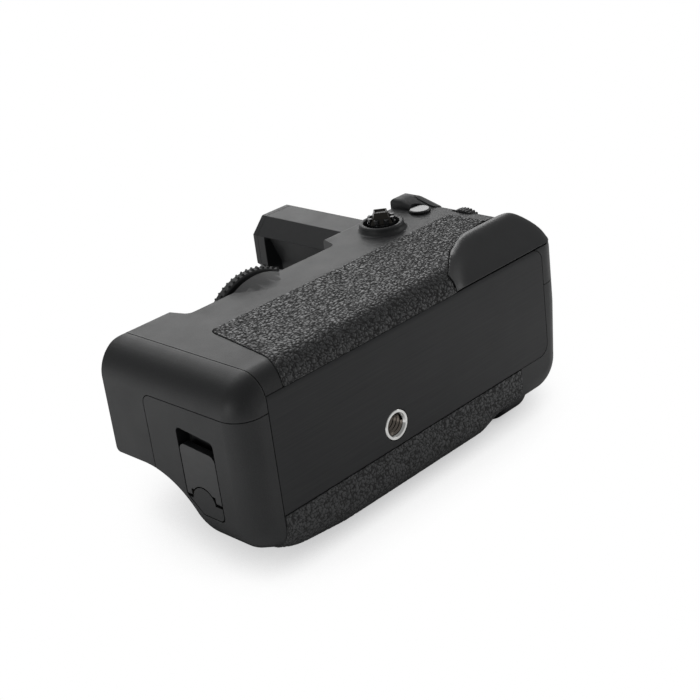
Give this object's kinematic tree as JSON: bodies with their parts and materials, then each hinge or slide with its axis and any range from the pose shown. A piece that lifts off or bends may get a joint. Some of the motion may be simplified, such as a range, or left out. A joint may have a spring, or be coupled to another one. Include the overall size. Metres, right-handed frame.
{
  "type": "camera battery grip",
  "caption": "Vertical battery grip for a mirrorless camera, with a drawer for batteries behind a latched end door, a tower that fills the camera's bay, a locking wheel and hand controls.",
  "frame": {"origin": "centre of the tripod socket's mouth in the bottom plate", "axes": "+X along the grip towards the shutter release end, +Y from the bottom plate to the camera, +Z out of the rear face with the joystick. The grip lies on its front face, as in the picture."},
  "size_m": [0.1422, 0.1083, 0.0656],
  "materials": {
    "case_plastic": "moulded and fine-textured black polycarbonate",
    "plate_plastic": "moulded black plastic with a satin face",
    "smooth_plastic": "moulded black plastic, smooth satin",
    "grip_rubber": "leather-grained black rubber sheet, glued on",
    "soft_rubber": "plain black rubber",
    "wheel_rubber": "ribbed black rubber tyre on a plastic wheel",
    "dial_plastic": "moulded black plastic with teeth",
    "stick_plastic": "moulded grey-black plastic",
    "gloss_button": "moulded and polished black plastic",
    "inner_plastic": "plain moulded black plastic, inside parts",
    "board": "green glass-epoxy circuit board",
    "ribbon_film": "amber polyimide film with copper tracks",
    "contact_gold": "gold-flashed contact springs",
    "steel": "turned steel",
    "bright_steel": "turned and nickel-plated steel",
    "black_screw": "black-oxide steel"
  },
  "bodies": {
    "housing": {"rear_cover": "case_plastic", "front_shell": "case_plastic", "left_side_cover": "case_plastic", "bottom_plate": "plate_plastic", "mating_plate": "case_plastic", "rear_grip_pad": "grip_rubber", "front_grip_pad": "grip_rubber", "thumb_rest": "smooth_plastic", "front_dial_housing": "case_plastic", "shutter_housing": "case_plastic", "tower_shell": "case_plastic", "tower_end_cap": "case_plastic", "tower_contacts": "contact_gold", "mating_cushion": "soft_rubber", "locating_pins": "steel", "tripod_socket": "bright_steel", "attachment_bush": "steel", "wheel_bracket": "inner_plastic", "battery_chamber": "inner_plastic", "door_gasket": "soft_rubber", "battery_terminals": "contact_gold", "circuit_board": "board", "tower_ribbon": "ribbon_film", "tactile_switches": "inner_plastic", "joystick_bezel": "case_plastic", "joystick_base": "inner_plastic", "rear_dial_bracket": "inner_plastic", "shutter_collar": "smooth_plastic", "shutter_switch": "inner_plastic", "case_screws": "black_screw"},
    "wheel": {"attachment_wheel": "wheel_rubber", "attachment_screw": "steel", "screw_clip": "steel"},
    "stick_gimbal": {"joystick_gimbal": "inner_plastic"},
    "stick_stem": {"joystick_stem": "inner_plastic"},
    "stick_cap": {"joystick_cap": "stick_plastic"},
    "afon": {"afon_button": "gloss_button"},
    "function": {"function_button": "smooth_plastic"},
    "rear_dial": {"rear_dial": "dial_plastic", "rear_dial_shaft": "steel"},
    "front_dial": {"front_dial": "dial_plastic", "front_dial_shaft": "steel"},
    "shutter": {"shutter_button": "gloss_button"},
    "power_ring": {"power_ring": "smooth_plastic"},
    "tray": {"battery_tray": "inner_plastic", "tray_contacts": "contact_gold", "battery_door": "case_plastic", "latch_hub": "case_plastic", "latch_pin": "steel", "latch_bolt": "steel"},
    "latch": {"latch_handle": "smooth_plastic"}
  },
  "joints": [
    {"name": "wheel_spin", "type": "hinge", "parent": "housing", "child": "wheel", "pos_m": [-0.0015, 0.053, 0.0172], "axis": [0, 1, 0], "continuous": true},
    {"name": "stick_tilt_updown", "type": "hinge", "parent": "housing", "child": "stick_gimbal", "pos_m": [0.0499, 0.0462, 0.031], "axis": [1, 0, 0], "range_deg": [-6, 6], "stiffness_Nm_per_rad": 0.03},
    {"name": "stick_tilt_sideways", "type": "hinge", "parent": "stick_gimbal", "child": "stick_stem", "pos_m": [0.0499, 0.0462, 0.031], "axis": [0, 1, 0], "range_deg": [-6, 6], "stiffness_Nm_per_rad": 0.03},
    {"name": "stick_press", "type": "slide", "parent": "stick_stem", "child": "stick_cap", "axis": [0, 0, -1], "range_m": [0, 0.0004], "stiffness_N_per_m": 800},
    {"name": "afon_press", "type": "slide", "parent": "housing", "child": "afon", "axis": [0, 0, -1], "range_m": [0, 0.0005], "stiffness_N_per_m": 600},
    {"name": "function_press", "type": "slide", "parent": "housing", "child": "function", "axis": [0, 0, -1], "range_m": [0, 0.0005], "stiffness_N_per_m": 600},
    {"name": "rear_dial_spin", "type": "hinge", "parent": "housing", "child": "rear_dial", "pos_m": [0.0741, 0.0321, 0.0278], "axis": [1, 0, 0], "continuous": true},
    {"name": "front_dial_spin", "type": "hinge", "parent": "housing", "child": "front_dial", "pos_m": [0.056, 0.0128, -0.0152], "axis": [1, 0, 0], "continuous": true},
    {"name": "shutter_press", "type": "slide", "parent": "housing", "child": "shutter", "axis": [-1, 0, 0], "range_m": [0, 0.001], "stiffness_N_per_m": 400},
    {"name": "power_turn", "type": "hinge", "parent": "housing", "child": "power_ring", "pos_m": [0.082, 0.02, 0.002], "axis": [1, 0, 0], "range_deg": [0, 30]},
    {"name": "tray_slide", "type": "slide", "parent": "housing", "child": "tray", "axis": [-1, 0, 0], "range_m": [0, 0.098]},
    {"name": "latch_flip", "type": "hinge", "parent": "tray", "child": "latch", "pos_m": [-0.0549, 0.0202, -0.0022], "axis": [0, -1, 0], "range_deg": [0, 90]}
  ]
}
